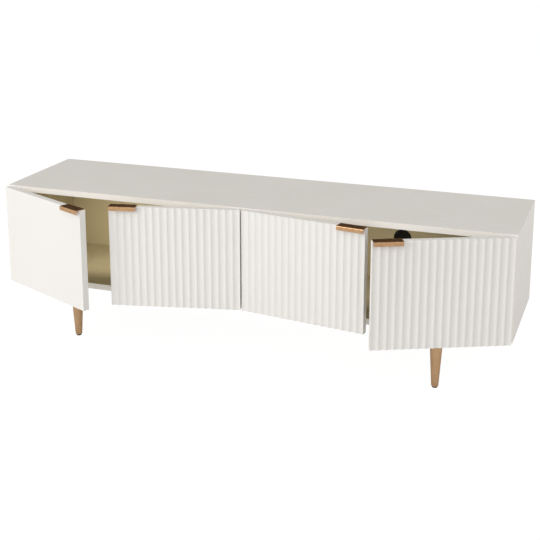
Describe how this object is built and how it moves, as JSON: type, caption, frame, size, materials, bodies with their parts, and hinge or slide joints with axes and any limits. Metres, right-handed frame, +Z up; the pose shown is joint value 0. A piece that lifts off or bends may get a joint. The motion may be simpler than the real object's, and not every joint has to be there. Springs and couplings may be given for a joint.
{
  "type": "tv stand with doors",
  "caption": "Low white media console with hinged fluted doors, folded brass edge pulls and tapered brass legs.",
  "frame": {"origin": "on the floor, under the centre of the cabinet body's footprint", "axes": "+X to the right along the length, +Y to the back, +Z up"},
  "size_m": [1.6, 0.5759, 0.49],
  "materials": {
    "lacquer": "satin off-white lacquer on fibreboard",
    "lining": "matt khaki melamine on a thin board",
    "black_plastic": "black moulded plastic",
    "leg_brass": "satin antique brass",
    "pull_brass": "satin antique brass sheet",
    "glide_felt": "dark nylon",
    "beech": "raw beech",
    "zinc_steel": "zinc-plated steel",
    "clear_bumper": "clear soft polyurethane"
  },
  "bodies": {
    "cabinet": {"top_panel": "lacquer", "bottom_panel": "lacquer", "left_side_panel": "lacquer", "right_side_panel": "lacquer", "centre_partition": "lacquer", "back_panel": "lining", "cable_liner_left": "black_plastic", "cable_liner_right": "black_plastic", "cable_cap_left": "black_plastic", "cable_cap_right": "black_plastic", "leg_front_left": "leg_brass", "leg_front_right": "leg_brass", "leg_rear_left": "leg_brass", "leg_rear_right": "leg_brass", "leg_plates": "zinc_steel", "leg_plate_screws": "zinc_steel", "leg_hanger_bolts": "zinc_steel", "leg_glides": "glide_felt", "cam_bolts": "zinc_steel", "cam_locks": "zinc_steel", "dowels": "beech", "door_1_hinge_arms": "zinc_steel", "door_2_hinge_arms": "zinc_steel", "door_3_hinge_arms": "zinc_steel", "door_4_hinge_arms": "zinc_steel", "door_1_hinge_plates": "zinc_steel", "door_2_hinge_plates": "zinc_steel", "door_3_hinge_plates": "zinc_steel", "door_4_hinge_plates": "zinc_steel", "hinge_plate_screws": "zinc_steel", "hinge_arm_screws": "zinc_steel"},
    "door_1": {"door_1_panel": "lacquer", "door_1_pull": "pull_brass", "door_1_pull_screws": "zinc_steel", "door_1_hinge_cups": "zinc_steel", "door_1_hinge_pins": "zinc_steel", "door_1_cup_screws": "zinc_steel", "door_1_bumpers": "clear_bumper"},
    "door_2": {"door_2_panel": "lacquer", "door_2_pull": "pull_brass", "door_2_pull_screws": "zinc_steel", "door_2_hinge_cups": "zinc_steel", "door_2_hinge_pins": "zinc_steel", "door_2_cup_screws": "zinc_steel", "door_2_bumpers": "clear_bumper"},
    "door_3": {"door_3_panel": "lacquer", "door_3_pull": "pull_brass", "door_3_pull_screws": "zinc_steel", "door_3_hinge_cups": "zinc_steel", "door_3_hinge_pins": "zinc_steel", "door_3_cup_screws": "zinc_steel", "door_3_bumpers": "clear_bumper"},
    "door_4": {"door_4_panel": "lacquer", "door_4_pull": "pull_brass", "door_4_pull_screws": "zinc_steel", "door_4_hinge_cups": "zinc_steel", "door_4_hinge_pins": "zinc_steel", "door_4_cup_screws": "zinc_steel", "door_4_bumpers": "clear_bumper"}
  },
  "joints": [
    {"name": "door_1_swing", "type": "hinge", "parent": "cabinet", "child": "door_1", "pos_m": [-0.787, -0.2055, 0.3325], "axis": [0, 0, -1], "range_deg": [-25, 70]},
    {"name": "door_2_swing", "type": "hinge", "parent": "cabinet", "child": "door_2", "pos_m": [-0.013, -0.2055, 0.3325], "axis": [0, 0, 1], "range_deg": [-13, 75]},
    {"name": "door_3_swing", "type": "hinge", "parent": "cabinet", "child": "door_3", "pos_m": [0.013, -0.2055, 0.3325], "axis": [0, 0, -1], "range_deg": [-8.5, 79.5]},
    {"name": "door_4_swing", "type": "hinge", "parent": "cabinet", "child": "door_4", "pos_m": [0.787, -0.2055, 0.3325], "axis": [0, 0, 1], "range_deg": [-25, 70]}
  ]
}
